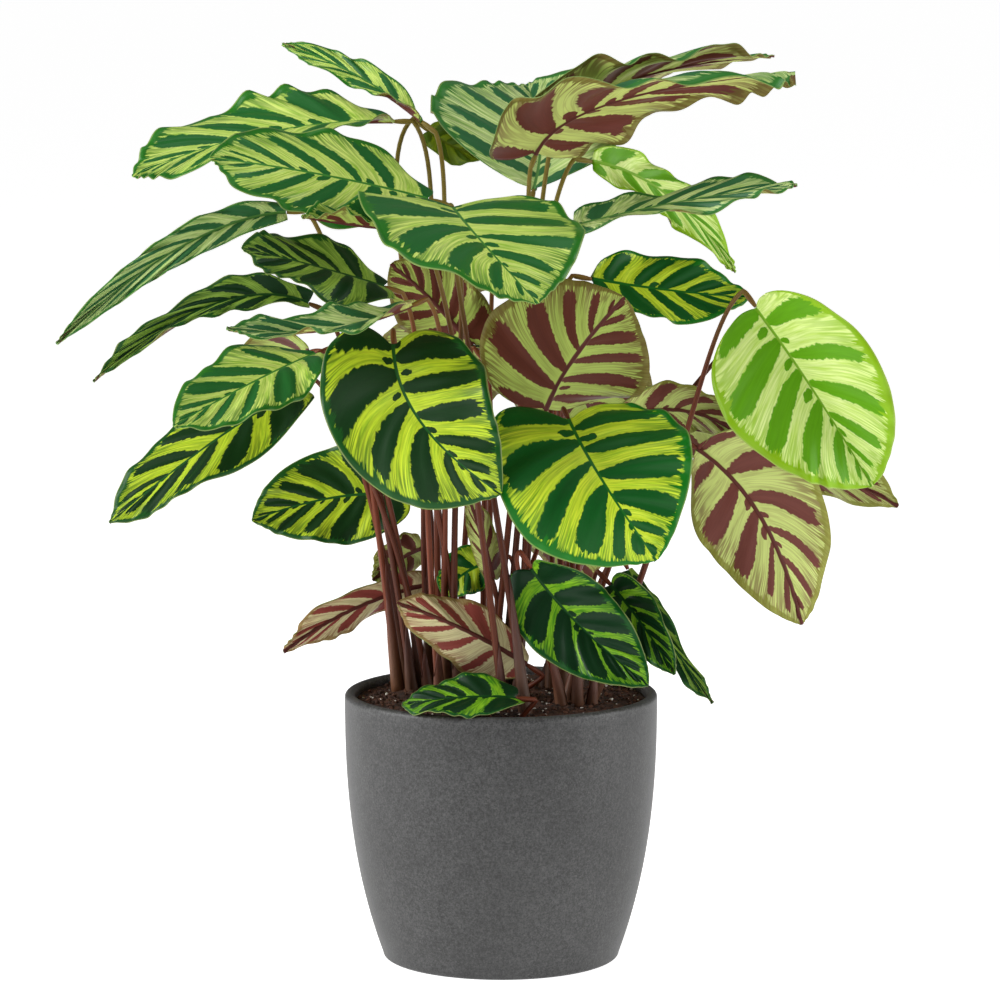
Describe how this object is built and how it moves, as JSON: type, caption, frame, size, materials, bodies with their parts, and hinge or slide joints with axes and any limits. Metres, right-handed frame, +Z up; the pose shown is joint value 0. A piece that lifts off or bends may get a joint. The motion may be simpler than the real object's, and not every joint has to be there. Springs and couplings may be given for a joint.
{
  "type": "potted calathea",
  "caption": "House plant with broad patterned leaves on slim upright stalks, rooted in soil in a round stone-grey planter that stands on its flat foot.",
  "frame": {"origin": "middle of the planter's flat foot, at the level that it stands on", "axes": "+Z up along the planter's axis, -Y towards the viewer of the front, +X to that viewer's right"},
  "size_m": [0.5908, 0.3956, 0.6422],
  "materials": {
    "planter": "matte speckled stone grey",
    "soil": "coarse dark potting soil",
    "stalk": "satin maroon",
    "blade": "satin green pattern above, maroon pattern below"
  },
  "bodies": {
    "root": {"pot": "planter", "soil": "soil", "shoot_1": "stalk", "shoot_2": "stalk", "shoot_3": "stalk", "shoot_4": "stalk", "shoot_5": "stalk", "shoot_6": "stalk", "shoot_7": "stalk", "shoot_8": "stalk", "blade_1_1": "blade", "blade_1_2": "blade", "blade_1_3": "blade", "blade_1_4": "blade", "blade_1_5": "blade", "blade_2_1": "blade", "blade_2_2": "blade", "blade_2_3": "blade", "blade_2_4": "blade", "blade_2_5": "blade", "blade_2_6": "blade", "blade_2_7": "blade", "blade_3_1": "blade", "blade_3_2": "blade", "blade_3_3": "blade", "blade_3_4": "blade", "blade_4_1": "blade", "blade_4_2": "blade", "blade_4_3": "blade", "blade_4_4": "blade", "blade_4_5": "blade", "blade_5_1": "blade", "blade_5_2": "blade", "blade_5_3": "blade", "blade_5_4": "blade", "blade_5_5": "blade", "blade_5_6": "blade", "blade_6_1": "blade", "blade_6_2": "blade", "blade_6_3": "blade", "blade_6_4": "blade", "blade_6_5": "blade", "blade_6_6": "blade", "blade_7_1": "blade", "blade_7_2": "blade", "blade_7_3": "blade", "blade_7_4": "blade", "blade_7_5": "blade", "blade_7_6": "blade", "blade_8_1": "blade", "blade_8_2": "blade", "blade_8_3": "blade"}
  },
  "joints": []
}
